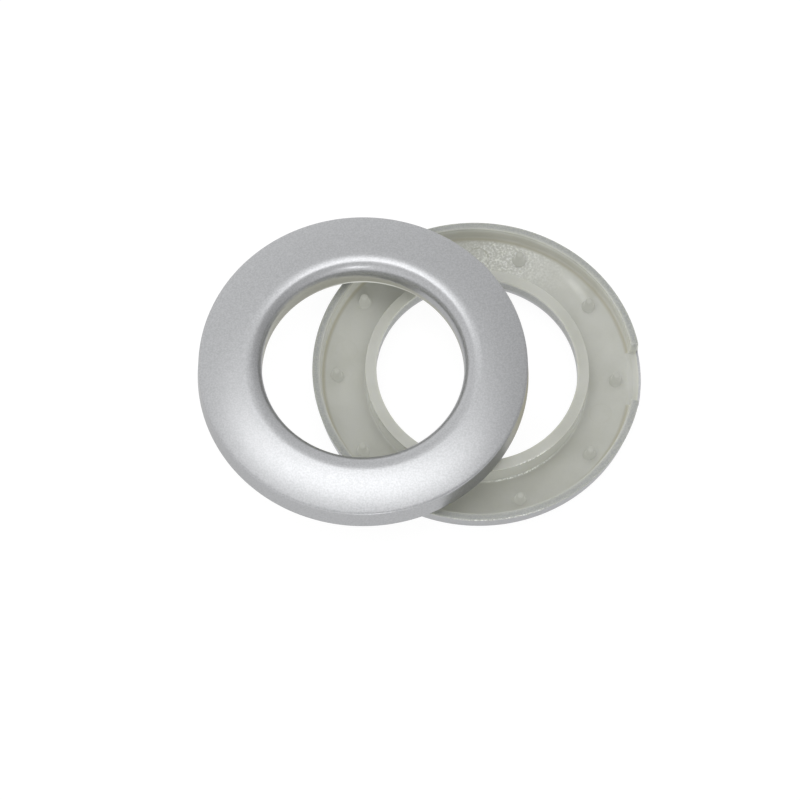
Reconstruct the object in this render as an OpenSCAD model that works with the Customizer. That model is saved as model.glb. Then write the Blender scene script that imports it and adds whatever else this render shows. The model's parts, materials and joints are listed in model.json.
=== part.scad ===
// Two-piece snap-together curtain eyelet, shown taken apart.
// The back half lies face down, and the front half lies face up, partly on top of it.
// Each half is drawn crest up, from the plane of its rim, and then laid in place.

/* [Overall] */
// Outside diameter of both halves
outer_d = 65.5; // [60:0.1:75]
// Diameter of the hole for the curtain pole
bore_d = 40; // [36:0.1:44]
// Radius of the rolled lip round the bore
roll_r = 3.5; // [2.8:0.1:4]

/* [Front half] */
// Height of the front half, from its rim to its crest
front_h = 6.7; // [6:0.1:9]
// Height of the front half's outer edge above its rim
front_edge_h = 5.2; // [3.8:0.1:5.4]
// Radius of the front face's crown
front_crown_r = 42; // [30:1:120]
// How far the front skirt leans inwards, in degrees
front_draft = 3; // [0:0.5:5]

/* [Back half] */
// Height of the back half, from its rim to its crest
back_h = 6.4; // [5.8:0.1:9]
// Height of the back half's outer edge above its rim
back_edge_h = 4.3; // [3.4:0.1:4.8]
// Radius of the back face's crown
back_crown_r = 40; // [30:1:120]
// How far the back skirt leans inwards, in degrees
back_draft = 8; // [0:0.5:10]

/* [Moulding] */
// Thickness of the skirt at the rim
skirt_t = 1.6; // [1.2:0.1:2.2]
// Thickness of the face
face_t = 1.3; // [1.1:0.1:1.7]
// Rounding of the skirt's outer edge, where it meets the face
edge_r = 0.45; // [0.2:0.05:0.6]
// Rounding of the rim's corners
rim_r = 0.25; // [0.1:0.05:0.4]
// Fillet where the channel's floor meets the skirt
channel_r = 0.9; // [0.2:0.05:1.2]
// Fillet where the channel's floor meets the neck or the clip ring
foot_r = 0.4; // [0.2:0.05:0.8]

/* [Neck of the back half] */
// Wall of the neck
neck_t = 2; // [1.5:0.1:2.4]
// Height of the neck's inner edge above the rim
neck_rise = 0.2; // [0.1:0.05:0.8]
// Fall of the neck's sloped end, from its inner to its outer edge
tip_fall = 0.35; // [0.1:0.05:0.6]
// How far the snap bead stands out of the neck
bead_out = 0.24; // [0.1:0.02:0.35]
// Height of the snap bead
bead_h = 0.5; // [0.3:0.05:0.8]

/* [Clip ring of the front half] */
// Height of the seat for the neck above the rim
seat_rise = 1.45; // [0.8:0.05:2]
// How far the clip ring reaches past the rim
clip_drop = 2; // [1.6:0.1:2.6]
// Wall of the clip ring
clip_t = 1.5; // [1.2:0.1:1.8]
// Clearance between the bead and the clip ring
clip_clear = 0.16; // [0.1:0.02:0.3]
// How far the catch at the ring's mouth stands inwards
catch_in = 0.25; // [0.1:0.05:0.35]
// Height of the catch
catch_h = 0.6; // [0.4:0.05:0.8]

/* [Pegs] */
// Number of pegs that hold the cloth
peg_count = 10; // [6:1:12]
// Diameter of a peg at its root
peg_root_d = 2.4; // [1.8:0.1:3]
// Diameter of a peg at its tip
peg_tip_d = 1.7; // [1.2:0.1:2]
// Distance from a peg's axis to the skirt's inner wall
peg_inset = 3.3; // [2.4:0.1:4]
// How far the pegs' tips stay below the rim
peg_below = 1.5; // [0.6:0.1:2]

/* [Finger notch] */
// Width of the notch in the back half's skirt, at the channel's floor
notch_w = 11.4; // [6:0.1:18]
// Slope of the notch's ends, in degrees
notch_draft = 8; // [0:1:15]

/* [Lay] */
// Distance between the axes of the two halves
lay_offset = 22.8; // [18:0.1:23.4]
// Clearance where the front half rests on the back half
lay_gap = 0.05; // [0.02:0.01:0.2]
// Turn of the back half on the surface, in degrees
back_turn = -6.5; // [-180:0.1:180]

/* [Hidden] */
$fn = 128;
arc_steps = 8;
small_r = 0.12;
outer_r = outer_d / 2;
bore_r = bore_d / 2;
skirt_r = outer_r - skirt_t;
neck_r = bore_r + neck_t;
clip_r = neck_r + bead_out + clip_clear;
peg_ring_r = skirt_r - peg_inset;

// Chord where two circles cross, measured from the axis of the circle of radius a
function chord(a, b, apart) = (a * a - b * b + apart * apart) / (2 * apart);
// The clip ring meets the neck's end on one chord, and the rim's outer corner on another
neck_chord = chord(clip_r, bore_r + small_r, lay_offset);
rim_chord = chord(clip_r, outer_r, lay_offset);
lay_tilt = atan(neck_rise / (neck_chord - rim_chord));
lay_lift = clip_drop + lay_gap - rim_chord * tan(lay_tilt);

// Unit vector at angle a
function ray(a) = [cos(a), sin(a)];
// Points of an arc of radius r about c, from angle a0 to a1
function arc(c, r, a0, a1) =
    [for (i = [0:arc_steps]) c + r * ray(a0 + (a1 - a0) * i / arc_steps)];
// Direction of vector v, in degrees
function heading(v) = atan2(v[1], v[0]);

// Centre of the rolled lip of a half of height h
function roll_c(h) = [bore_r + roll_r, h - roll_r];
// Centre of the outer edge's rounding
function edge_c(edge_h, draft) =
    [outer_r - (edge_h - edge_r) * tan(draft) - edge_r / cos(draft), edge_h - edge_r];
// Centre of the face's crown, whose arc runs smoothly into both the lip and the outer edge
function face_c(h, edge_h, draft, crown_r) =
    let (
        span = edge_c(edge_h, draft) - roll_c(h),
        along = span / norm(span),
        c = chord(crown_r - roll_r, crown_r - edge_r, norm(span))
    )
    roll_c(h) + c * along + sqrt(pow(crown_r - roll_r, 2) - c * c) * [along[1], -along[0]];

// The outside of a half, from the rim up the skirt, over the face and down into the bore
function outside(h, edge_h, draft, crown_r) =
    let (
        c = face_c(h, edge_h, draft, crown_r),
        lip_a = heading(roll_c(h) - c),
        edge_a = heading(edge_c(edge_h, draft) - c)
    )
    concat(
        arc([outer_r - rim_r, rim_r], rim_r, -90, 0),
        arc(edge_c(edge_h, draft), edge_r, draft, edge_a),
        arc(c, crown_r, edge_a, lip_a),
        arc(roll_c(h), roll_r, lip_a, 180)
    );

// Point at radius r on an arc of radius run about c, above c
function above(c, run, r) = [r, c[1] + sqrt(run * run - pow(r - c[0], 2))];

// The channel under the face, from the wall at radius r to the skirt, down to the rim
function channel(h, edge_h, draft, crown_r, r) =
    let (
        c = face_c(h, edge_h, draft, crown_r),
        inner = above(c, crown_r - face_t - foot_r, r + foot_r),
        outer = above(c, crown_r - face_t - channel_r, skirt_r - channel_r)
    )
    concat(
        arc(inner, foot_r, 180, heading(inner - c)),
        arc(c, crown_r - face_t, heading(inner - c), heading(outer - c)),
        arc(outer, channel_r, heading(outer - c), 0),
        arc([skirt_r + rim_r, rim_r], rim_r, 180, 270)
    );

// Height of the back half's channel floor at radius r
function back_floor_z(r) =
    above(face_c(back_h, back_edge_h, back_draft, back_crown_r), back_crown_r - face_t, r)[1];

// The neck's end: rounded inner edge, slope, and the snap bead under it
function neck_end() =
    let (bead_r = neck_r + bead_out, shoulder = tip_fall - neck_rise)
    concat(
        arc([bore_r + small_r, small_r - neck_rise], small_r, 180, 270),
        arc([bead_r - small_r, shoulder + small_r], small_r, 270, 360),
        [[bead_r, shoulder + bead_h], [neck_r, shoulder + bead_h + bead_out]]
    );

// The clip ring: seat, inner wall, catch at the mouth, end and outer wall
function clip_ring() =
    let (catch_r = clip_r - catch_in)
    concat(
        arc([bore_r + small_r, seat_rise + small_r], small_r, 180, 270),
        [
            [clip_r, seat_rise],
            [clip_r, catch_h + catch_in - clip_drop],
            [catch_r, catch_h - clip_drop],
            [catch_r, catch_in - clip_drop],
            [clip_r, -clip_drop]
        ],
        arc([clip_r + clip_t - small_r, small_r - clip_drop], small_r, 270, 360)
    );

// Front half, crest up
module front_shell() {
    rotate_extrude()
        polygon(concat(
            outside(front_h, front_edge_h, front_draft, front_crown_r),
            clip_ring(),
            channel(front_h, front_edge_h, front_draft, front_crown_r, clip_r + clip_t)
        ));
}

// Back half, crest up, without pegs or notch
module back_shell() {
    rotate_extrude()
        polygon(concat(
            outside(back_h, back_edge_h, back_draft, back_crown_r),
            neck_end(),
            channel(back_h, back_edge_h, back_draft, back_crown_r, neck_r)
        ));
}

// One peg, standing down from the channel's floor
module peg() {
    root_z = back_floor_z(peg_ring_r) + face_t / 2;
    tip_r = peg_tip_d / 2;
    rotate_extrude($fn = 32)
        polygon(concat(
            [[0, root_z], [0, peg_below]],
            arc([tip_r - 3 * small_r, peg_below + 3 * small_r], 3 * small_r, 270, 360),
            [[peg_root_d / 2, root_z]]
        ));
}

// The ring of pegs, one of them in line with the notch
module pegs() {
    for (i = [0:peg_count - 1])
        rotate([0, 0, i * 360 / peg_count])
            translate([peg_ring_r, 0, 0])
                peg();
}

// The space cut from the skirt for a finger, down to the channel's floor
module notch() {
    depth = back_floor_z(skirt_r - channel_r);
    flare = (depth + skirt_t) * tan(notch_draft);
    translate([skirt_r - channel_r, 0, 0])
        rotate([90, 0, 90])
            linear_extrude(height = channel_r + 2 * skirt_t)
                polygon([
                    [-notch_w / 2 - flare, -skirt_t],
                    [notch_w / 2 + flare, -skirt_t],
                    [notch_w / 2, depth],
                    [-notch_w / 2, depth]
                ]);
}

module front_half() {
    color("#b9bcbf")
        translate([-lay_offset / 2, 0, back_h + lay_lift])
            rotate([0, -lay_tilt, 0])
                front_shell();
}

module back_half() {
    color("#b3b5ac")
        translate([lay_offset / 2, 0, back_h])
            rotate([180, 0, back_turn])
                union() {
                    difference() {
                        back_shell();
                        notch();
                    }
                    pegs();
                }
}

front_half();
back_half();
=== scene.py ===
"""The looks of a snap-together curtain eyelet, taken apart: a silver ring lying on an upturned one."""

import json
import logging
import math
from dataclasses import dataclass
from enum import Enum

import bmesh
import bpy
import numpy as np
from mathutils import Matrix, Quaternion, Vector

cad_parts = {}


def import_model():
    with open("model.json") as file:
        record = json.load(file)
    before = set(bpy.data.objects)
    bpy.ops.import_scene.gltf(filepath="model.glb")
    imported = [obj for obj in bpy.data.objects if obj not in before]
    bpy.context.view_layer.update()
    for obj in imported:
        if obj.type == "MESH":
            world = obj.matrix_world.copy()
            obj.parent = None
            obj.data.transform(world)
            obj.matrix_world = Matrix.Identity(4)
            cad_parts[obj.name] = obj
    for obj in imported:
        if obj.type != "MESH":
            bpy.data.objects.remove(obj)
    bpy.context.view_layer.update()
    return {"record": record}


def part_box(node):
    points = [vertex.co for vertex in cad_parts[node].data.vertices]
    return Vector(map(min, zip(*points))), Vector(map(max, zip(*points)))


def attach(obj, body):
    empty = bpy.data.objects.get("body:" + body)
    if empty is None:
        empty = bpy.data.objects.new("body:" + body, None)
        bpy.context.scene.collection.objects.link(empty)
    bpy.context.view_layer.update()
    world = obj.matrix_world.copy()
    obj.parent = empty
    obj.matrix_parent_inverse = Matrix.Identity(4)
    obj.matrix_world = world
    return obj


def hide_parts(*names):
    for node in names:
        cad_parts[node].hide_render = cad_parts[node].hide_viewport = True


LOG = logging.getLogger("eyelet")
MM = 0.001
IMAGE_PX = 800
ROUND_STEPS = 6
FINE_STEP = 0.3 * MM
# Masks at the mesh points: paint, its dust, the frosting with painted highlights and glints, a band of
# painted highlight, painted shade, and a painted glow.
MASKS = ("paint", "dust", "frost", "streak", "corner", "backlit")

Colour = tuple[float, float, float, float]
WHITE: Colour = (1.0, 1.0, 1.0, 1.0)
BLACK: Colour = (0.0, 0.0, 0.0, 1.0)


def smooth(x: np.ndarray, low: float, high: float) -> np.ndarray:
    """A soft step: 0 below low, 1 above high, and 3t^2 - 2t^3 between them.

    Args:
        x: Values to test.
        low: Where the step starts.
        high: Where the step ends.

    Returns:
        The step at each value.
    """
    t = np.clip((x - low) / (high - low), 0, 1)
    return t * t * (3 - 2 * t)


@dataclass(frozen=True)
class Stretch:
    """A stretch round a ring, in degrees: 1 in its middle, 0 beyond the half width."""

    centre_deg: float
    half_deg: float

    def at(self, angles: np.ndarray) -> np.ndarray:
        """A soft hump on the circle.

        Args:
            angles: The m angles in radians.

        Returns:
            Half of 1 plus the cosine of the scaled distance from the middle, shape (1, m).
        """
        away = np.abs((np.degrees(angles) - self.centre_deg + 180) % 360 - 180)
        return (0.5 + 0.5 * np.cos(np.pi * np.clip(away / self.half_deg, 0, 1)))[None, :]


@dataclass(frozen=True)
class Ramp:
    """A soft step along a height or a radius, with its two ends in mm."""

    low: float
    high: float

    def at(self, x: np.ndarray, start: float = 0.0) -> np.ndarray:
        """The step at each x, with the ends measured from start."""
        return smooth(x, start + self.low * MM, start + self.high * MM)


# A glint is a painted highlight: pale colour along an edge.
@dataclass(frozen=True)
class Glint:
    """A bright broken line on an edge."""

    half_width: float
    strength: float
    stretch: Stretch


# Outlines


def line(start: np.ndarray, end: np.ndarray, step: float) -> np.ndarray:
    """Points on a straight stretch, without its end.

    Args:
        start: First point (radius, height).
        end: Point where the next stretch starts.
        step: Longest distance between points.

    Returns:
        An array of points, evenly spaced from start towards end.
    """
    start, end = np.asarray(start, float), np.asarray(end, float)
    count = max(1, math.ceil(np.linalg.norm(end - start) / step))
    return start + (end - start) * (np.arange(count) / count)[:, None]


def arc(centre: np.ndarray, radius: float, first: float, last: float, step: float) -> np.ndarray:
    """Points on a round stretch, both ends included: centre plus radius times (cos a, sin a).

    Args:
        centre: Centre of the arc.
        radius: Radius of the arc.
        first: Start angle in radians.
        last: End angle in radians.
        step: Longest distance between points.

    Returns:
        An array of points, evenly spaced in angle.
    """
    count = max(ROUND_STEPS, math.ceil(abs(last - first) * radius / step))
    a = np.linspace(first, last, count + 1)
    return np.asarray(centre) + radius * np.stack([np.cos(a), np.sin(a)], 1)


def heading(vector: np.ndarray) -> float:
    """The angle of a vector, in radians."""
    return math.atan2(vector[1], vector[0])


@dataclass(frozen=True)
class Section:
    """The moulded section of one half, crest up, with heights from the plane of its rim.

    The skirt, the face, the rolled lip and the bore are one smooth run of arcs. The channel under the
    face is the face's own arc moved in by the face's thickness, with a fillet at each side. The lip
    starts with an arc of radius ease_r over ease_deg.
    """

    bore_r: float
    outer_r: float
    height: float
    edge_height: float
    crown_r: float
    draft_deg: float
    roll_r: float = 3.5 * MM
    ease_r: float = 3.5 * MM
    ease_deg: float = 15.0
    skirt_t: float = 1.6 * MM
    face_t: float = 1.3 * MM
    edge_round: float = 0.45 * MM
    rim_round: float = 0.25 * MM
    channel_round: float = 0.9 * MM
    foot_round: float = 0.4 * MM

    @property
    def skirt_r(self) -> float:
        """Radius of the skirt's inner wall."""
        return self.outer_r - self.skirt_t

    @property
    def roll_centre(self) -> np.ndarray:
        """Centre of the rolled lip."""
        return np.array([self.bore_r + self.roll_r, self.height - self.roll_r])

    @property
    def edge_centre(self) -> np.ndarray:
        """Centre of the outer edge's rounding."""
        draft = math.radians(self.draft_deg)
        lean = (self.edge_height - self.edge_round) * math.tan(draft)
        return np.array([
            self.outer_r - lean - self.edge_round / math.cos(draft),
            self.edge_height - self.edge_round,
        ])

    @property
    def face_centre(self) -> np.ndarray:
        """Centre of the face's crown, which touches both the lip and the outer edge's rounding.

        It lies where a circle of radius crown - lip about the lip's centre crosses a circle of radius
        crown - rounding about the outer edge's, on the lower side.
        """
        span = self.edge_centre - self.roll_centre
        apart = float(np.hypot(*span))
        along = span / apart
        near, far = self.crown_r - self.roll_r, self.crown_r - self.edge_round
        chord = (near**2 - far**2 + apart**2) / (2 * apart)
        across = math.sqrt(near**2 - chord**2)
        return self.roll_centre + chord * along + across * np.array([along[1], -along[0]])

    def above(self, run: float, radius: float) -> np.ndarray:
        """The point at a radius on an arc of radius run about the face's centre."""
        centre = self.face_centre
        return np.array([radius, centre[1] + math.sqrt(run**2 - (radius - centre[0]) ** 2)])

    def floor_height(self, radius: float) -> float:
        """Height of the channel's floor at a radius: the face's arc, moved in by its thickness."""
        return float(self.above(self.crown_r - self.face_t, radius)[1])

    def outside(self) -> np.ndarray:
        """The outside, from the rim up the skirt, over the face and the lip and down into the bore.

        Returns:
            Points (radius, height): the rim's corner, the straight skirt, the edge, the face, the lip.
        """
        rim = np.array([self.outer_r - self.rim_round, self.rim_round])
        edge_turn = heading(self.edge_centre - self.face_centre)
        lip_turn = heading(self.roll_centre - self.face_centre)
        foot = arc(rim, self.rim_round, -math.pi / 2, 0, FINE_STEP)
        draft = math.radians(self.draft_deg)
        edge = arc(self.edge_centre, self.edge_round, draft, edge_turn, FINE_STEP)
        return np.vstack([
            foot,
            line(foot[-1], edge[0], FINE_STEP)[1:],
            edge,
            arc(self.face_centre, self.crown_r, edge_turn, lip_turn, FINE_STEP)[1:],
            self.lip(lip_turn)[1:],
        ])

    def lip(self, start: float) -> np.ndarray:
        """The rolled lip, from the face's crown to the bore: a wide arc that eases into a tighter one.

        Args:
            start: Heading of the outward normal where the crown ends.

        Returns:
            Points (radius, height). The second arc's radius is what brings the lip to the bore's wall.
        """
        turn = start + math.radians(self.ease_deg)
        way = np.array([math.cos(start), math.sin(start)])
        hub = self.roll_centre + (self.roll_r - self.ease_r) * way
        wide = arc(hub, self.ease_r, start, turn, FINE_STEP / 2)
        tight_r = (wide[-1][0] - self.bore_r) / (1 + math.cos(turn))
        centre = wide[-1] - tight_r * np.array([math.cos(turn), math.sin(turn)])
        return np.vstack([wide, arc(centre, tight_r, turn, math.pi, FINE_STEP / 2)[1:]])

    def channel(self, wall_r: float, wall_foot: float) -> np.ndarray:
        """The channel under the face, from the inner wall to the rim's inner corner.

        Args:
            wall_r: Radius of the wall at the channel's inner side.
            wall_foot: Height where that wall starts.

        Returns:
            Points (radius, height): wall, fillet, the face's inner arc, fillet, skirt and rim corner.
        """
        run = self.crown_r - self.face_t
        inner = self.above(run - self.foot_round, wall_r + self.foot_round)
        outer = self.above(run - self.channel_round, self.skirt_r - self.channel_round)
        turn_in, turn_out = heading(inner - self.face_centre), heading(outer - self.face_centre)
        first = arc(inner, self.foot_round, math.pi, turn_in, FINE_STEP)
        last = arc(outer, self.channel_round, turn_out, 0, FINE_STEP / 2)
        corner = np.array([self.skirt_r + self.rim_round, self.rim_round])
        rim = arc(corner, self.rim_round, math.pi, 1.5 * math.pi, FINE_STEP)
        return np.vstack([
            line([wall_r, wall_foot], first[0], FINE_STEP),
            first,
            arc(self.face_centre, run, turn_in, turn_out, FINE_STEP)[1:-1],
            last,
            line(last[-1], rim[0], FINE_STEP)[1:],
            rim,
            line(rim[-1], [self.outer_r - self.rim_round, 0.0], FINE_STEP)[1:],
        ])


# Meshes


@dataclass
class Surface:
    """A surface worked out on a grid, with its masks' values at each point or for all points."""

    points: np.ndarray
    values: dict[str, np.ndarray | float]
    closed_rows: bool = True

    def quads(self) -> np.ndarray:
        """The four corners of each face, by number, wrapping round where the grid is closed."""
        rows, columns = self.points.shape[:2]
        i, j = np.meshgrid(
            np.arange(rows if self.closed_rows else rows - 1), np.arange(columns), indexing="ij"
        )
        up, on = (i + 1) % rows, (j + 1) % columns
        corners = [i * columns + j, up * columns + j, up * columns + on, i * columns + on]
        return np.stack(corners, -1).reshape(-1, 4)


def revolve(profile: np.ndarray, angles: np.ndarray) -> np.ndarray:
    """Turns an outline about the upright axis: (r cos a, r sin a, z) for each point and angle.

    Args:
        profile: Points (radius, height), shape (n, 2), or (n, m, 2) where it changes with the angle.
        angles: The m angles in radians.

    Returns:
        Points, shape (n, m, 3).
    """
    if profile.ndim == 2:
        profile = np.repeat(profile[:, None, :], len(angles), 1)
    r, z = profile[..., 0], profile[..., 1]
    return np.stack([r * np.cos(angles), r * np.sin(angles), z], -1)


def make_piece(name: str, surfaces: list[Surface], placing: Matrix) -> bpy.types.Object:
    """Puts surfaces into one mesh object, at its place in the row frame.

    Args:
        name: Name of the piece.
        surfaces: Grids in the piece's own frame.
        placing: The move from the piece's own frame to the row frame.

    Returns:
        The new object, with its place in its mesh and its values as attributes.
    """
    points, quads, values, start = [], [], {}, 0
    for surface in surfaces:
        flat = surface.points.reshape(-1, 3)
        quads.append(surface.quads() + start)
        points.append(flat)
        for key, value in surface.values.items():
            values.setdefault(key, []).append(np.broadcast_to(value, surface.points.shape[:2]).ravel())
        start += len(flat)
    points, quads = np.vstack(points), np.vstack(quads)
    turn = np.array(placing.to_3x3())
    points = points @ turn.T + np.array(placing.translation)
    mesh = bpy.data.meshes.new(name)
    mesh.vertices.add(len(points))
    mesh.vertices.foreach_set("co", points.astype(np.float32).ravel())
    mesh.loops.add(quads.size)
    mesh.loops.foreach_set("vertex_index", quads.astype(np.int32).ravel())
    mesh.polygons.add(len(quads))
    mesh.polygons.foreach_set("loop_start", np.arange(0, quads.size, 4, dtype=np.int32))
    mesh.polygons.foreach_set("use_smooth", np.ones(len(quads), bool))
    for key, parts in values.items():
        layer = mesh.attributes.new(key, "FLOAT", "POINT")
        layer.data.foreach_set("value", np.concatenate(parts).astype(np.float32))
    mesh.update(calc_edges=True)
    close_mesh(mesh)
    piece = bpy.data.objects.new(name, mesh)
    bpy.context.scene.collection.objects.link(piece)
    return piece


def close_mesh(mesh: bpy.types.Mesh) -> None:
    """Merges points that share a place, such as a pole's, and turns all faces outwards."""
    work = bmesh.new()
    work.from_mesh(mesh)
    bmesh.ops.remove_doubles(work, verts=work.verts, dist=1e-7)
    bmesh.ops.recalc_face_normals(work, faces=work.faces)
    work.to_mesh(mesh)
    work.free()


# Materials


class Wire:
    """A number in a shader. Python's operators on it add Math nodes."""

    def __init__(self, bench: "Bench", socket: bpy.types.NodeSocket) -> None:
        """Wraps one output socket of a node on a bench."""
        self.bench = bench
        self.socket = socket

    def _math(self, operation: str, first: "Wire | float", second: "Wire | float") -> "Wire":
        """Adds one Math node."""
        made = self.bench.node("ShaderNodeMath", {"operation": operation}, {0: first, 1: second})
        return Wire(self.bench, made.outputs[0])

    def __add__(self, other: "Wire | float") -> "Wire":
        """self + other."""
        return self._math("ADD", self, other)

    def __radd__(self, other: float) -> "Wire":
        """other + self."""
        return self._math("ADD", other, self)

    def __sub__(self, other: "Wire | float") -> "Wire":
        """self - other."""
        return self._math("SUBTRACT", self, other)

    def __rsub__(self, other: float) -> "Wire":
        """other - self."""
        return self._math("SUBTRACT", other, self)

    def __mul__(self, other: "Wire | float") -> "Wire":
        """self * other."""
        return self._math("MULTIPLY", self, other)

    def __rmul__(self, other: float) -> "Wire":
        """other * self."""
        return self._math("MULTIPLY", other, self)

    def __pow__(self, other: float) -> "Wire":
        """self ** other."""
        return self._math("POWER", self, other)

    def __abs__(self) -> "Wire":
        """The number without its sign."""
        return self._math("ABSOLUTE", self, 0.0)


class Bench:
    """One material's node tree, and the method that adds every node to it."""

    def __init__(self, name: str, tree: bpy.types.NodeTree | None = None) -> None:
        """Starts an empty material, or clears the tree given."""
        if tree is None:
            self.material = bpy.data.materials.new(name)
            self.material.use_nodes = True
            tree = self.material.node_tree
        self.tree = tree
        tree.nodes.clear()

    def node(self, kind: str, settings: dict | None = None,
             sockets: dict | None = None) -> bpy.types.Node:
        """Adds a node.

        Args:
            kind: The node's type.
            settings: The node's own properties, set before its inputs.
            sockets: Values, wires or sockets for its inputs, by name or number.

        Returns:
            The new node.
        """
        made = self.tree.nodes.new(kind)
        for key, value in (settings or {}).items():
            setattr(made, key, value)
        for key, value in (sockets or {}).items():
            source = value.socket if isinstance(value, Wire) else value
            if isinstance(source, bpy.types.NodeSocket):
                self.tree.links.new(source, made.inputs[key])
            else:
                made.inputs[key].default_value = source
        return made

    def wire(self, kind: str, output: str | int, settings: dict | None = None,
             sockets: dict | None = None) -> Wire:
        """Adds a node and wraps one of its outputs as a number."""
        return Wire(self, self.node(kind, settings, sockets).outputs[output])

    def place(self) -> bpy.types.NodeSocket:
        """The place on the object, in metres."""
        return self.node("ShaderNodeTexCoord").outputs["Object"]

    def mask(self, name: str) -> Wire:
        """A value kept at the mesh's points."""
        return self.wire("ShaderNodeAttribute", "Fac", {"attribute_name": name})

    def noise(self, scale: float, detail: float, roughness: float = 0.5) -> Wire:
        """Noise on the object's place, with scale features to the metre."""
        sockets = {"Vector": self.place(), "Scale": scale, "Detail": detail, "Roughness": roughness}
        return self.wire("ShaderNodeTexNoise", "Fac", {"noise_dimensions": "3D"}, sockets)

    def mix(self, factor: Wire, first: "Colour | bpy.types.NodeSocket",
            second: "Colour | bpy.types.NodeSocket") -> bpy.types.NodeSocket:
        """Mixes two colours."""
        made = self.node("ShaderNodeMix", {"data_type": "RGBA"}, {0: factor, 6: first, 7: second})
        return made.outputs[2]

    def step(self, value: Wire, low: float, high: float) -> Wire:
        """A soft step from 0 at low to 1 at high."""
        settings = {"interpolation_type": "SMOOTHSTEP"}
        sockets = {"Value": value, "From Min": low, "From Max": high}
        return self.wire("ShaderNodeMapRange", "Result", settings, sockets)

    def circle(self, x: float, y: float, radius: float, width: float) -> Wire:
        """A thin round line seen from above: 1 on the circle about (x, y), 0 a width away from it."""
        ways = self.node("ShaderNodeSeparateXYZ", None, {0: self.place()})
        dx, dy = Wire(self, ways.outputs["X"]) - x, Wire(self, ways.outputs["Y"]) - y
        return 1 - self.step(abs((dx * dx + dy * dy) ** 0.5 - radius), 0.0, width)

    def finish(self, sockets: dict) -> bpy.types.Material:
        """Adds the main shader with these inputs and the output.

        Args:
            sockets: Inputs of the Principled BSDF.

        Returns:
            The finished material.
        """
        shader = self.node("ShaderNodeBsdfPrincipled", None, sockets)
        self.node("ShaderNodeOutputMaterial", None, {"Surface": shader.outputs[0]})
        return self.material


@dataclass(frozen=True)
class Witness:
    """A round mark that an ejector pin leaves on a moulding, with its centre in the row frame."""

    x: float
    y: float
    radius: float = 2.15 * MM
    width: float = 0.22 * MM
    strength: float = 1.0


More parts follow.
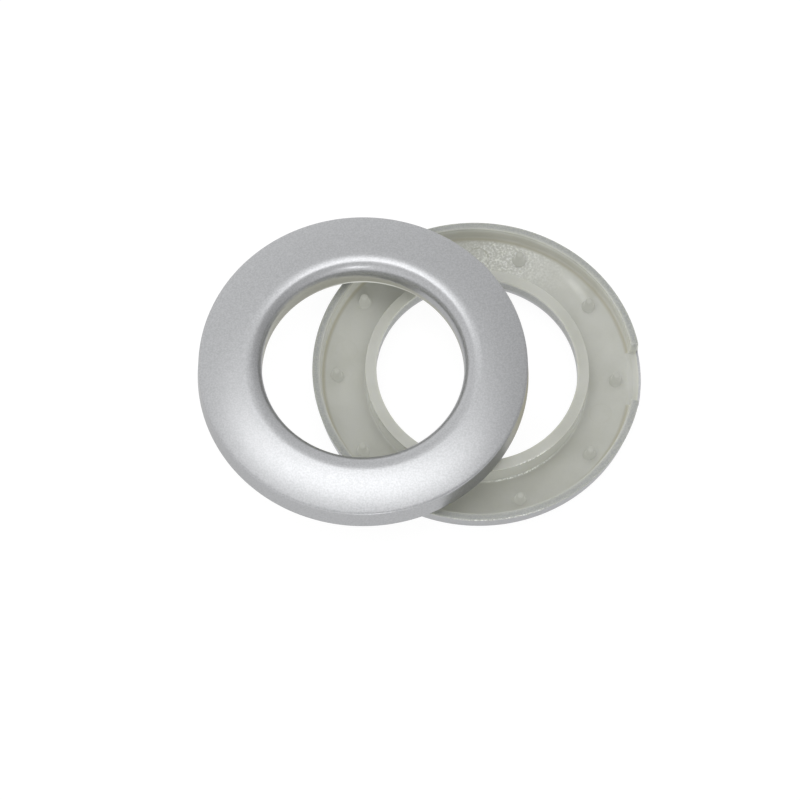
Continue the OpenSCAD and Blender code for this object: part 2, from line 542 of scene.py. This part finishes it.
@dataclass(frozen=True)
class PaintedPlastic:
    """Satin silver paint over bare grey-green plastic.

    Masks say what lies where: paint, the finer overspray called dust, the frosted patch with its
    pale specks and the glints as painted highlights, a band of painted highlight, painted shade in the
    corner where the channel's floor meets the skirt and on other bare plastic, and a painted glow for
    light that shines through the walls.
    """

    silver: Colour = (0.43, 0.435, 0.445, 1.0)
    plastic: Colour = (0.455, 0.46, 0.425, 1.0)
    shade: Colour = (0.42, 0.425, 0.385, 1.0)
    # An olive colour for painted shade: the channel's corner, the shaded wall, the bare bore and the
    # lower skirt; it also darkens the witness marks.
    corner: Colour = (0.29, 0.275, 0.20, 1.0)
    dust: Colour = (0.31, 0.32, 0.315, 1.0)
    # The colour of painted highlights.
    pale: Colour = (0.78, 0.79, 0.76, 1.0)
    edge_tint: float = 0.7
    # Strengths of a painted glow of the bare plastic, standing in for light through it.
    glow: float = 0.32
    deep_glow: float = 0.34
    paint_roughness: float = 0.31
    plastic_roughness: float = 0.30
    metallic: float = 0.92
    flake_scale: float = 3000.0
    grain_scale: float = 1500.0
    flake_depth: float = 0.010 * MM
    frost_scale: float = 2300.0
    frost_depth: float = 0.05 * MM
    ripple_depth: float = 0.05 * MM
    cloud_scale: float = 110.0
    ripple_scale: float = 420.0
    ring_tone: float = 0.28
    ring_depth: float = 0.03 * MM
    subsurface: float = 0.0
    witnesses: tuple[Witness, ...] = ()

    def build(self, name: str) -> bpy.types.Material:
        """Builds the material.

        Args:
            name: The material's name.

        Returns:
            The material, which reads the masks in MASKS.
        """
        bench = Bench(name)
        flakes = bench.noise(self.flake_scale, 2.0, 0.6)
        grain = bench.noise(self.grain_scale, 3.0)
        cloud = bench.noise(self.cloud_scale, 2.0)
        ripple = bench.noise(self.ripple_scale, 1.0)
        edge = bench.mask("paint") + (grain - 0.5) * 0.3
        paint = bench.step(edge, 0.35, 0.65)
        dust = bench.mask("dust") * (0.6 + 0.4 * bench.step(flakes, 0.4, 0.6))
        frost = bench.mask("frost")
        corner = bench.mask("corner")
        ring = 0.0
        for mark in self.witnesses:
            ring = mark.strength * bench.circle(mark.x, mark.y, mark.radius, mark.width) + ring
        bare = bench.mix(bench.step(cloud + (grain - 0.5) * 0.2, 0.35, 0.7), self.plastic, self.shade)
        # Painted shade: the olive colour darkens the bare plastic where the corner mask says.
        bare = bench.mix(corner, bare, self.corner)
        bare = bench.mix(dust, bare, self.dust)
        # Painted highlights: pale specks on the frosting and the glints, and the pale band.
        specks = bench.step(bench.noise(self.frost_scale, 2.5), 0.36, 0.72) * frost
        lit = bench.mix(specks * 0.7 + bench.mask("streak") * (0.12 + 0.3 * ripple), bare, self.pale)
        if self.witnesses:
            lit = bench.mix(ring * self.ring_tone, lit, self.corner)
        bright = tuple(min(1.0, 1.08 * c) for c in self.silver[:3]) + (1.0,)
        dull = tuple(0.9 * c for c in self.silver[:3]) + (1.0,)
        metal = bench.mix(bench.step(flakes, 0.3, 0.7), dull, bright)
        rough = self.plastic_roughness + paint * (self.paint_roughness - self.plastic_roughness)
        rough = rough + (grain - 0.5) * 0.06 + dust * 0.12 - specks * 0.12 + corner * (1 - paint) * 0.3
        relief = paint * flakes * self.flake_depth + (1 - paint) * (
            grain * (0.5 * self.flake_depth)
            + ripple * self.ripple_depth
            + frost * self.frost_depth * specks
        )
        if self.witnesses:
            relief = relief - ring * self.ring_depth
        bump = bench.node("ShaderNodeBump", None, {"Strength": 1.0, "Distance": 1.0, "Height": relief})
        # Painted glow: bare plastic emits its own colour, more where the glow mask says and less under
        # dust, for light through the plastic.
        painted_glow_level = (self.deep_glow + (1 - self.deep_glow) * bench.mask("backlit")) * (1 - paint)
        painted_glow_level = painted_glow_level * (1 - 0.9 * dust)
        return bench.finish({
            "Base Color": bench.mix(paint, lit, metal),
            "Specular Tint": (self.edge_tint, self.edge_tint, self.edge_tint, 1.0),
            "Emission Color": bench.mix(painted_glow_level, BLACK, lit),
            "Emission Strength": self.glow,
            "Metallic": paint * self.metallic,
            "Roughness": rough,
            "Normal": bump.outputs[0],
            "Subsurface Weight": self.subsurface,
            "Subsurface Radius": (1.0, 1.0, 0.75),
            "Subsurface Scale": 1.2 * MM,
        })


# The pegs' plastic: a dark base with a strong painted glow, standing in for light through the clear
# plastic.
CLEAR_PLASTIC = PaintedPlastic(
    plastic=(0.135, 0.137, 0.124, 1.0),
    shade=(0.128, 0.130, 0.116, 1.0),
    glow=2.1,
    plastic_roughness=0.42,
)


class Slot(Enum):
    """The record's material slots."""

    SILVER = "silver_paint"
    NATURAL = "natural_plastic"


# The two halves


@dataclass
class FrontHalf:
    """The silver half, lying face up, with its clip ring on the hidden side."""

    section: Section
    placing: Matrix
    seat_rise: float = 0.8 * MM
    seat_round: float = 0.12 * MM
    clip_r: float = 22.4 * MM
    clip_t: float = 1.5 * MM
    clip_drop: float = 2.0 * MM
    catch_in: float = 0.25 * MM
    catch_h: float = 0.6 * MM
    columns: int = 384
    bare_low: float = 1.2 * MM
    bare_gain: float = 3.0 * MM
    bare_fade: Ramp = Ramp(-1.8, 1.8)
    bare_paint: float = 0.2
    full_paint: float = 0.85
    skirt_fade: Ramp = Ramp(-5.0, -4.6)
    skirt_bare: float = 0.7
    bore_dust: float = 0.3
    # The bore's tone is painted shade, an olive colour on the bare bore; the seat's shine is a painted
    # highlight on its edge.
    bore_shade: float = 0.6
    seat_shine: float = 2.4
    lip_rows: int = 30
    # Stretches: where the bore is left bare, where a painted glow lights the bore, where the seat's edge
    # gets a painted highlight and glow, and where the skirt's paint thins, with painted shade.
    bare_bore: Stretch = Stretch(128, 100)
    lit_bore: Stretch = Stretch(170, 55)
    lit_seat: Stretch = Stretch(82, 45)
    thin_skirt: Stretch = Stretch(-12, 62)

    def clip_ring(self) -> np.ndarray:
        """The seat at the bore's foot, the ring's inner wall, its catch, end and outer corner."""
        s = self.seat_round
        seat = arc([self.section.bore_r + s, self.seat_rise + s], s, math.pi, 1.5 * math.pi, FINE_STEP)
        catch_r = self.clip_r - self.catch_in
        knots = np.array([
            seat[-1],
            [self.clip_r, self.seat_rise],
            [self.clip_r, self.catch_h + self.catch_in - self.clip_drop],
            [catch_r, self.catch_h - self.clip_drop],
            [catch_r, self.catch_in - self.clip_drop],
            [self.clip_r, -self.clip_drop],
        ])
        end = arc([self.clip_r + self.clip_t - s, s - self.clip_drop], s, -math.pi / 2, 0, FINE_STEP)
        runs = [line(a, b, FINE_STEP) for a, b in zip(knots, [*knots[1:], end[0]])]
        return np.vstack([seat[:-1], *runs, end[:-1]])

    def surface(self) -> Surface:
        """The whole half, turned about its axis, with its masks."""
        outside = self.section.outside()
        bore_foot = [self.section.bore_r, self.seat_rise + self.seat_round]
        bore = line(outside[-1], bore_foot, FINE_STEP)[1:]
        channel = self.section.channel(self.clip_r + self.clip_t, self.seat_round - self.clip_drop)
        profile = np.vstack([outside, bore, self.clip_ring(), channel[:-1]])
        angles = np.linspace(0, 2 * math.pi, self.columns, endpoint=False)
        masks = self.masks(profile, angles, len(outside), len(outside) + len(bore))
        return Surface(revolve(profile, angles), masks)

    def masks(self, profile: np.ndarray, angles: np.ndarray, bore_row: int,
              seat_row: int) -> dict[str, np.ndarray | float]:
        """Says where the paint is thin and what the bare plastic does there.

        Paint covers the skirt, face and lip. It thins out down the bore, from higher up at the back
        left, where the spray didn't reach, and on the lower skirt at the right, where the bare plastic
        also gets painted shade. The bare bore gets painted shade and, at the left, a painted glow. A
        line of the seat's corner gets a painted highlight and glow for the light it catches.

        Args:
            profile: The outline, shape (n, 2).
            angles: The m angles in radians.
            bore_row: The outline's row where the bore's wall starts.
            seat_row: The outline's row where the seat starts.

        Returns:
            The masks by name, each a grid of shape (n, m) or one number.
        """
        bore_r, outer_r = self.section.bore_r, self.section.outer_r
        radius, height = profile[:, :1], profile[:, 1:]
        row = np.arange(len(profile))[:, None]
        foot = self.seat_rise + self.bare_low + self.bare_gain * self.bare_bore.at(angles)
        in_bore = (row >= bore_row - self.lip_rows) & (row < seat_row + 2)
        fade = self.bare_paint + (self.full_paint - self.bare_paint) * self.bare_fade.at(height - foot)
        paint = np.where(in_bore & (radius < bore_r + 1.0 * MM), fade, row < seat_row)
        # The lower skirt at the right: thinner paint, and the olive colour on its bare plastic is
        # painted shade.
        thin = (row < bore_row) & (radius > outer_r - 0.4 * MM)
        thin = thin * self.skirt_fade.at(-height) * self.thin_skirt.at(angles)
        # The bare bore: its olive colour is painted shade, with a painted glow at the left.
        inside = in_bore & (radius < bore_r + 0.8 * MM)
        inside = inside * self.bare_fade.at(foot - height)
        # The seat's corner: a painted highlight and a painted glow.
        seat_edge = (np.abs(row - seat_row - 1) < 3) * self.lit_seat.at(angles)
        return dict.fromkeys(MASKS, 0.0) | {
            "paint": paint * (1 - self.skirt_bare * thin) * (1 - seat_edge),
            "dust": self.bore_dust * inside * (1 - seat_edge),
            "streak": self.seat_shine * seat_edge,
            "corner": thin + self.bore_shade * inside * (1 - seat_edge),
            "backlit": inside * self.lit_bore.at(angles) + seat_edge,
        }

    def build(self, finish: bpy.types.Material) -> list[bpy.types.Object]:
        """Builds the half's piece.

        Args:
            finish: The painted plastic.

        Returns:
            The pieces made.
        """
        piece = make_piece("silver_front_ring", [self.surface()], self.placing)
        piece.data.materials.append(finish)
        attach(piece, "root")
        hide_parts("front_half")
        return [piece]


@dataclass
class Peg:
    """One of the short pegs that hold the cloth, with a rounded tip and a flared root."""

    root_r: float = 1.1 * MM
    tip_r: float = 0.78 * MM
    tip_round: float = 0.5 * MM
    flare: float = 0.35 * MM
    side_rows: int = 13
    columns: int = 28

    def surface(self, tip: float, root: float, radius: float, angle: float) -> Surface:
        """The peg at its place in the channel.

        Args:
            tip: Height of its tip.
            root: Height of its root.
            radius: Distance of its axis from the half's axis.
            angle: Its angle about the half's axis, in radians.

        Returns:
            The surface: a flat tip, a rounded corner, then a side whose radius grows by the taper
            times t and by the flare times t^8, with t from 0 at the corner to 1 at the root.
        """
        bend = [self.tip_r - self.tip_round, tip + self.tip_round]
        corner = arc(bend, self.tip_round, -math.pi / 2, 0, FINE_STEP)
        t = np.linspace(0, 1, self.side_rows + 1)[1:]
        side_r = self.tip_r + (self.root_r - self.tip_r) * t + self.flare * t**8
        side = np.stack([side_r, corner[-1][1] + (root - corner[-1][1]) * t], 1)
        profile = np.vstack([[[0.0, tip]], corner, side])
        angles = np.linspace(0, 2 * math.pi, self.columns, endpoint=False)
        place = np.array([radius * math.cos(angle), radius * math.sin(angle), 0])
        points = revolve(profile, angles) + place
        # A peg gets the full painted glow.
        masks = dict.fromkeys(MASKS, 0.0) | {"backlit": 1.0}
        return Surface(points, masks, closed_rows=False)


@dataclass
class BackHalf:
    """The upturned half: bare inside, with a neck, ten pegs and a finger notch in its skirt."""

    section: Section
    placing: Matrix
    neck_t: float = 2.0 * MM
    neck_rise: float = 0.2 * MM
    tip_fall: float = 0.35 * MM
    tip_round: float = 0.12 * MM
    bead_out: float = 0.24 * MM
    bead_h: float = 0.5 * MM
    peg_count: int = 10
    peg_inset: float = 3.3 * MM
    peg_below: float = 1.5 * MM
    peg_sunk: float = 0.05 * MM
    notch_w: float = 11.4 * MM
    notch_draft_deg: float = 8.0
    notch_left: float = 0.03
    notch_columns: int = 33
    columns: int = 320
    floor_low: float = 2.6 * MM
    streak_start: float = 8.6 * MM
    streak_climb: float = 2.0 * MM / 30
    # The first two stretches say where painted shade darkens the channel's wall and its line and where a
    # painted glow lights the floor; the last says where a band of painted highlight lies.
    shaded_wall: Stretch = Stretch(66, 85)
    glowing_floor: Stretch = Stretch(172, 45)
    frosted: Stretch = Stretch(79, 34)
    streaked: Stretch = Stretch(45, 15)
    rim_paint: Ramp = Ramp(0.05, 0.5)
    bore_paint: Ramp = Ramp(2.2, 3.4)
    notch_paint: float = 0.8
    rim_dust: Ramp = Ramp(-0.1, 0.8)
    rim_dusting: float = 0.9
    bore_dust: Ramp = Ramp(0.1, 0.7)
    # The line and wall numbers set painted shade; the light numbers set a painted glow through the
    # skirt, the neck and the floor.
    line_in: float = 0.62 * MM
    line_low: float = 1.5 * MM
    line_fade: Ramp = Ramp(0.05, 0.5)
    line_shade: float = 0.75
    line_loss: float = 0.35
    wall_in: Ramp = Ramp(-0.9, -0.5)
    wall_up: Ramp = Ramp(0.5, 1.7)
    wall_shade: float = 0.3
    light_in: Ramp = Ramp(-1.0, -0.45)
    light_up: Ramp = Ramp(0.1, 0.5)
    light_loss: float = 0.35
    neck_in: Ramp = Ramp(-0.6, -0.1)
    neck_light: float = 0.7
    floor_light: float = 0.35
    frost_from: Ramp = Ramp(3.5, 5.5)
    frost_to: Ramp = Ramp(0.6, 1.4)
    streak_fade: Ramp = Ramp(0.2, 1.1)
    # The glints are painted highlights: pale colour along the front edges.
    tip_glint: Glint = Glint(0.14 * MM, 2.0, Stretch(-60, 17))
    foot_glint: Glint = Glint(0.16 * MM, 2.0, Stretch(-67, 26))
    rim_glint: Glint = Glint(0.16 * MM, 1.6, Stretch(-80, 28))

    @property
    def notch_end(self) -> float:
        """Width of each sloped end of the notch, over the whole depth of the channel."""
        s = self.section
        depth = s.floor_height(s.skirt_r - s.channel_round)
        return depth * math.tan(math.radians(self.notch_draft_deg))

    def neck_end(self) -> np.ndarray:
        """The neck's end: a rounded inner edge, a slope, and the snap bead."""
        s, shoulder = self.tip_round, self.tip_fall - self.neck_rise
        neck_r = self.section.bore_r + self.neck_t
        bead_r = neck_r + self.bead_out
        tip = arc([self.section.bore_r + s, s - self.neck_rise], s, math.pi, 1.5 * math.pi, FINE_STEP)
        nose = arc([bead_r - s, shoulder + s], s, -math.pi / 2, 0, FINE_STEP)
        under = [bead_r, shoulder + self.bead_h]
        return np.vstack([
            tip,
            line(tip[-1], nose[0], FINE_STEP)[1:],
            nose,
            line(nose[-1], under, FINE_STEP)[1:],
            line(under, [neck_r, shoulder + self.bead_h + self.bead_out], FINE_STEP / 2),
        ])

    def angles(self) -> np.ndarray:
        """Angles round the half, evenly spread and closer together at the notch's two ends."""
        even = np.linspace(-math.pi, math.pi, self.columns, endpoint=False)
        outer_r = self.section.outer_r
        end = math.asin((self.notch_w / 2 + self.notch_end / 2) / outer_r)
        near = end + np.linspace(-1, 1, self.notch_columns) * self.notch_end / outer_r
        far = even[np.abs(np.abs(even) - end) > 1.05 * self.notch_end / outer_r]
        return np.unique(np.concatenate([far, near, -near]))

    def kept(self, angles: np.ndarray) -> np.ndarray:
        """How much of the skirt's height stands at each angle: 0 in the notch, 1 beyond its ends."""
        across = np.abs(np.sin(angles)) * (self.section.skirt_r + self.section.skirt_t / 2)
        beyond = np.where(np.cos(angles) > 0, across - self.notch_w / 2, 1.0)
        return smooth(beyond, 0, self.notch_end)

    def notched(self, profile: np.ndarray, angles: np.ndarray) -> np.ndarray:
        """Lowers the skirt to the channel's floor along the notch.

        Args:
            profile: The half's outline, shape (n, 2).
            angles: The m angles in radians.

        Returns:
            The outline at each angle, shape (n, m, 2). A point of the skirt below the floor's height
            moves to floor + k (height - floor), where k falls from 1 to notch_left over each end.
        """
        s = self.section
        floor = s.floor_height(s.skirt_r - s.channel_round)
        keep = self.notch_left + (1 - self.notch_left) * self.kept(angles)
        r = np.repeat(profile[:, :1], len(angles), 1)
        z = np.repeat(profile[:, 1:], len(angles), 1)
        on_skirt = (r > s.skirt_r - s.channel_round - 0.01 * MM) & (z < floor)
        lowered = np.where(on_skirt, floor + keep * (z - floor), z)
        return np.stack([r, lowered], -1)

    def surface(self) -> Surface:
        """The whole half without its pegs, with its masks."""
        s = self.section
        outside = s.outside()
        bore = line(outside[-1], [s.bore_r, self.tip_round - self.neck_rise], FINE_STEP)[1:]
        neck = self.neck_end()
        foot = self.tip_fall - self.neck_rise + self.bead_h + self.bead_out
        channel = s.channel(s.bore_r + self.neck_t, foot)
        profile = np.vstack([outside, bore, neck, channel[:-1]])
        angles = self.angles()
        rows = np.cumsum([len(outside), len(bore), len(neck)])
        masks = self.masks(profile, angles, *rows)
        return Surface(revolve(self.notched(profile, angles), angles), masks)

    def masks(self, profile: np.ndarray, angles: np.ndarray, bore_row: int, neck_row: int,
              channel_row: int) -> dict[str, np.ndarray]:
        """Says where the paint and its dust lie, and what the bare plastic shows in the channel.

        Paint covers the outside and the bore. The frosting, whose pale specks are painted highlights,
        and a pale band of painted highlight are on the floor. The dark line where the floor meets the
        skirt and the darker wall are painted shade, and a painted glow stands in for light through the
        skirt and the neck and lights part of the floor. Painted glints run along edges at the front.

        Args:
            profile: The outline, shape (n, 2).
            angles: The m angles in radians, which run the other way than in the row frame.
            bore_row: The outline's row where the bore's wall starts.
            neck_row: The outline's row where the neck's end starts.
            channel_row: The outline's row where the channel starts.

        Returns:
            The masks by name, each a grid of shape (n, m).
        """
        s = self.section
        radius, height = profile[:, :1], profile[:, 1:]
        row = np.arange(len(profile))[:, None]
        neck_r = s.bore_r + self.neck_t
        around = -angles
        standing = self.kept(angles)[None, :]
        in_channel = row >= channel_row
        on_bore = (row >= bore_row) & (row < neck_row)
        on_outside = row < bore_row

        paint = np.where(on_outside, self.rim_paint.at(height), 0.0)
        paint = np.where(on_bore, self.bore_paint.at(height), paint)
        notch_edge = on_outside * (radius > s.outer_r - 0.35 * MM) * (1 - standing)
        paint = np.maximum(paint, self.notch_paint * notch_edge)
        rim_dust = self.rim_dust.at(radius, s.skirt_r) * (height < 0.5 * MM) * standing
        dust = np.maximum(self.rim_dusting * rim_dust, on_bore * self.bore_dust.at(height))

        # Painted shade: a dark line where the floor meets the skirt, and a darker wall on the shaded
        # side.
        shade = self.shaded_wall.at(around)
        near_line = 1 - self.line_fade.at(np.abs(radius - s.skirt_r + self.line_in))
        near_line = near_line * (height > self.line_low)
        wall = self.wall_in.at(radius, s.skirt_r) * self.wall_up.at(height)
        corner = near_line * (self.line_shade - self.line_loss * shade) + self.wall_shade * wall * shade
        # Painted glow: light through the skirt and the neck, and on part of the floor.
        through = self.light_in.at(radius, s.skirt_r) * self.light_up.at(height)
        through = through * standing * (1 - self.light_loss * shade * wall)
        neck_wall = self.neck_light * self.neck_in.at(-radius, -neck_r)
        floor = in_channel & (height > self.floor_low)
        lit_floor = self.floor_light * self.glowing_floor.at(around) * floor
        backlit = in_channel * np.maximum(through + neck_wall, lit_floor)

        # The frosted patch, whose pale specks are painted highlights, and a band of painted highlight.
        patch = self.frost_from.at(radius, s.bore_r) * self.frosted.at(around)
        patch = patch * self.frost_to.at(-radius, -s.skirt_r)
        climb = self.streak_climb * (np.degrees(around) - self.streaked.centre_deg)
        band = np.abs(radius - s.bore_r - self.streak_start - climb)
        streak = floor * (1 - self.streak_fade.at(band)) * self.streaked.at(around)

        frost = floor * patch + self.glints(profile, around, bore_row, channel_row)
        corner = in_channel * corner * standing
        return dict(zip(MASKS, (paint, dust, frost, streak, corner, backlit)))

    def glints(self, profile: np.ndarray, around: np.ndarray, bore_row: int,
               channel_row: int) -> np.ndarray:
        """The bright broken lines at the front: the neck's outer edge, its foot and the rim's edge.

        Args:
            profile: The outline, shape (n, 2).
            around: The m angles in radians, the row frame's way round.
            bore_row: The outline's row where the bore's wall starts.
            channel_row: The outline's row where the channel starts.

        Returns:
            The strength of the lines, shape (n, m).
        """
        # Painted highlights: pale colour along these edges.
        radius, height = profile[:, :1], profile[:, 1:]
        row = np.arange(len(profile))[:, None]
        tip, foot, rim = self.tip_glint, self.foot_glint, self.rim_glint
        bead_r = self.section.bore_r + self.neck_t + self.bead_out
        on_tip = (row >= bore_row) & (height < 0.4 * MM)
        on_tip = on_tip & (np.abs(radius - bead_r + self.tip_round) < tip.half_width)
        on_foot = (row >= channel_row) & (height > 3 * MM)
        on_foot = on_foot & (np.abs(radius - bead_r) < foot.half_width)
        on_rim = (row < bore_row) & (height < self.section.rim_round + 0.01 * MM)
        on_rim = on_rim & (radius > self.section.outer_r - rim.half_width)
        lines = ((on_tip, tip), (on_foot, foot), (on_rim, rim))
        return sum(glint.strength * place * glint.stretch.at(around) for place, glint in lines)

    def pegs(self) -> list[Surface]:
        """The pegs, evenly spread, one of them in line with the notch."""
        s, peg = self.section, Peg()
        ring = s.skirt_r - self.peg_inset
        root = s.floor_height(ring) + self.peg_sunk
        turn = 2 * math.pi / self.peg_count
        return [peg.surface(self.peg_below, root, ring, i * turn) for i in range(self.peg_count)]

    def build(self, finish: bpy.types.Material,
              clear: bpy.types.Material) -> list[bpy.types.Object]:
        """Builds the half's two pieces, the shell and its pegs.

        Args:
            finish: The painted plastic.
            clear: The plastic of the pegs, with a painted glow for the light that shines through them.

        Returns:
            The pieces made.
        """
        shell = make_piece("back_ring_shell", [self.surface()], self.placing)
        pegs = make_piece("back_ring_pegs", self.pegs(), self.placing)
        for piece, material in ((shell, finish), (pegs, clear)):
            piece.data.materials.append(material)
            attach(piece, "root")
            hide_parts("back_half")
        return [shell, pegs]


def mount_named(record: dict, name: str) -> dict:
    """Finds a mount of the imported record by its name."""
    return next(m for m in record["mounts"] if m["name"] == name)


@dataclass
class Pair:
    """The two halves as they lie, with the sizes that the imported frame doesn't give."""

    front_bore: dict
    back_bore: dict
    low: Vector
    high: Vector
    front_height: float = 6.7 * MM
    front_edge: float = 5.2 * MM
    front_crown: float = 42.0 * MM
    front_draft_deg: float = 3.0
    front_ease: float = 6.3 * MM
    front_bore_foot: float = 1.45 * MM + 0.12 * MM
    back_height: float = 6.4 * MM
    back_edge: float = 4.3 * MM
    back_crown: float = 40.0 * MM
    back_draft_deg: float = 8.0
    back_turn_deg: float = -6.5
    spots: tuple[tuple[float, float, float], ...] = (
        (83.0, 26.7, 1.0), (-22.5, 25.7, 0.25), (160.5, 26.6, 0.15),
    )

    @property
    def outer_r(self) -> float:
        """The outer radius, half the depth of the back half's box."""
        return (self.high.y - self.low.y) / 2

    def front(self) -> FrontHalf:
        """The front half, its axis and bore on those of its mount."""
        section = Section(
            self.front_bore["dims"]["r_mm"] * MM, self.outer_r, self.front_height, self.front_edge,
            self.front_crown, self.front_draft_deg, ease_r=self.front_ease,
        )
        axis = Vector(self.front_bore["axis"])
        bore_mid = (self.front_bore_foot + section.height - section.roll_r) / 2
        foot = Vector(self.front_bore["pos_m"]) - bore_mid * axis
        lean = Vector((0, 0, 1)).rotation_difference(axis).to_matrix().to_4x4()
        return FrontHalf(section, Matrix.Translation(foot) @ lean)

    def back(self) -> BackHalf:
        """The back half, turned over, crest on the floor, under its own mount."""
        section = Section(
            self.back_bore["dims"]["r_mm"] * MM, self.outer_r, self.back_height, self.back_edge,
            self.back_crown, self.back_draft_deg,
        )
        placing = (
            Matrix.Translation((self.back_bore["pos_m"][0], 0, self.low.z + self.back_height))
            @ Matrix.Rotation(math.radians(self.back_turn_deg), 4, "Z")
            @ Matrix.Rotation(math.pi, 4, "X")
        )
        return BackHalf(section, placing)

    def witnesses(self, centre: Vector) -> tuple[Witness, ...]:
        """The ejector marks in the back half's channel.

        Args:
            centre: A point on the back half's axis.

        Returns:
            One mark for each of the spots, given as angle in degrees, distance in mm and strength.
        """
        return tuple(
            Witness(
                centre.x + far * MM * math.cos(math.radians(angle)),
                far * MM * math.sin(math.radians(angle)),
                strength=strength,
            )
            for angle, far, strength in self.spots
        )


# The studio


@dataclass(frozen=True)
class Lamp:
    """An oval soft light, placed by its direction from the pair: azimuth from +Y towards +X."""

    name: str
    azimuth_deg: float
    elevation_deg: float
    width: float
    depth: float
    turn_deg: float
    radiance: float
    distance: float = 1.0


@dataclass
class Studio:
    """A plain pale floor, soft light from above, and the camera.

    The camera looks at a point aim_right and aim_up, in its own directions, from aim.
    """

    aim: Vector
    azimuth_deg: float = -8.6
    elevation_deg: float = 65.0
    roll_deg: float = 2.8
    distance: float = 1.0
    px_per_m: float = 5034.0
    aim_right: float = -15.33 * MM
    aim_up: float = -6.1 * MM
    sensor: float = 36.0
    clip: tuple[float, float] = (0.05, 20.0)
    floor_half: float = 3.0
    floor_glow: float = 0.92
    floor_colour: Colour = (0.12, 0.12, 0.12, 1.0)
    sky_top: float = 0.82
    sky_rise: float = 0.34
    sky_east: float = -0.26
    lamps: tuple[Lamp, ...] = (
        Lamp("top_light", -14.0, 83.4, 0.80, 0.38, -32.0, 2.35),
        Lamp("front_light", 181.0, 35.0, 0.11, 0.08, 0.0, 22.0),
    )

    def camera(self) -> bpy.types.Object:
        """Makes the camera: it looks down on the pair, turned a little about its own axis.

        Returns:
            The camera, which is also made the scene's camera.
        """
        turn = (
            Matrix.Rotation(math.radians(self.azimuth_deg), 4, "Z")
            @ Matrix.Rotation(math.radians(90 - self.elevation_deg), 4, "X")
            @ Matrix.Rotation(math.radians(self.roll_deg), 4, "Z")
        )
        right, up, back = (turn.to_3x3() @ Vector(v) for v in ((1, 0, 0), (0, 1, 0), (0, 0, 1)))
        data = bpy.data.cameras.new("camera")
        data.sensor_width = self.sensor
        data.lens = self.sensor * self.px_per_m * self.distance / IMAGE_PX
        data.clip_start, data.clip_end = self.clip
        camera = bpy.data.objects.new("camera", data)
        centre = self.aim + self.aim_right * right + self.aim_up * up
        camera.matrix_world = Matrix.Translation(centre + self.distance * back) @ turn
        bpy.context.scene.collection.objects.link(camera)
        bpy.context.scene.camera = camera
        return camera

    def floor(self) -> bpy.types.Object:
        """Makes the floor, one pale square under the pair."""
        h = self.floor_half
        mesh = bpy.data.meshes.new("floor")
        mesh.from_pydata([(-h, -h, 0), (h, -h, 0), (h, h, 0), (-h, h, 0)], [], [(0, 1, 2, 3)])
        floor = bpy.data.objects.new("floor", mesh)
        bpy.context.scene.collection.objects.link(floor)
        bench = Bench("pale_floor")
        mesh.materials.append(bench.finish({
            "Base Color": self.floor_colour,
            "Roughness": 1.0,
            "Specular IOR Level": 0.0,
            "Emission Color": WHITE,
            "Emission Strength": self.floor_glow,
        }))
        return floor

    def surroundings(self) -> None:
        """Makes the pale walls, brighter before, behind and to the left of the pair than overhead.

        Their level is sky_top + sky_rise n^2 + sky_east e, with n and e the view's parts north and east.
        """
        world = bpy.data.worlds.new("surroundings")
        bpy.context.scene.world = world
        world.use_nodes = True
        bench = Bench("walls", world.node_tree)
        view = bench.node("ShaderNodeTexCoord").outputs["Generated"]
        way = bench.node("ShaderNodeSeparateXYZ", None, {0: view})
        east, north = (Wire(bench, way.outputs[axis]) for axis in ("X", "Y"))
        level = north * north * self.sky_rise + self.sky_top + east * self.sky_east
        glow = bench.node("ShaderNodeBackground", None, {"Color": WHITE, "Strength": level})
        bench.node("ShaderNodeOutputWorld", None, {"Surface": glow.outputs[0]})

    def lights(self) -> None:
        """Makes the lamps, each facing the pair, with the power that gives its disc its radiance."""
        for lamp in self.lamps:
            data = bpy.data.lights.new(lamp.name, "AREA")
            data.shape = "ELLIPSE"
            data.size, data.size_y = lamp.width, lamp.depth
            data.energy = lamp.radiance * math.pi * math.pi * lamp.width * lamp.depth / 4
            light = bpy.data.objects.new(lamp.name, data)
            azimuth, elevation = math.radians(lamp.azimuth_deg), math.radians(lamp.elevation_deg)
            level = lamp.distance * math.cos(elevation)
            height = lamp.distance * math.sin(elevation)
            light.location = (level * math.sin(azimuth), level * math.cos(azimuth), height)
            light.rotation_mode = "QUATERNION"
            turn = Quaternion((0.0, 0.0, 1.0), math.radians(lamp.turn_deg))
            light.rotation_quaternion = light.location.to_track_quat("Z", "Y") @ turn
            bpy.context.scene.collection.objects.link(light)


def main(frame: dict) -> None:
    """Builds the pair, dresses it and sets the studio.
    """
    logging.basicConfig(level=logging.INFO, format="%(name)s: %(message)s")
    bpy.context.scene.view_settings.view_transform = "Standard"
    record = frame["record"]
    bores = (mount_named(record, name) for name in ("front_bore", "back_bore"))
    pair = Pair(*bores, *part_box("back_half"))
    front, back = pair.front(), pair.back()
    centre = Vector(back.placing.translation)
    marks = pair.witnesses(centre)
    silver = PaintedPlastic().build("silver_over_plastic")
    bare = PaintedPlastic(subsurface=0.6, witnesses=marks).build("bare_plastic_inside")
    clear = CLEAR_PLASTIC.build("clear_plastic_pegs")
    for piece in front.build(silver) + back.build(bare, clear):
        LOG.info("made %s with %d faces", piece.name, len(piece.data.polygons))
    studio = Studio(centre)
    studio.floor()
    studio.surroundings()
    studio.lights()
    studio.camera()
    LOG.info("made the studio")


if __name__ == "__main__":
    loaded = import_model()
    main(loaded)
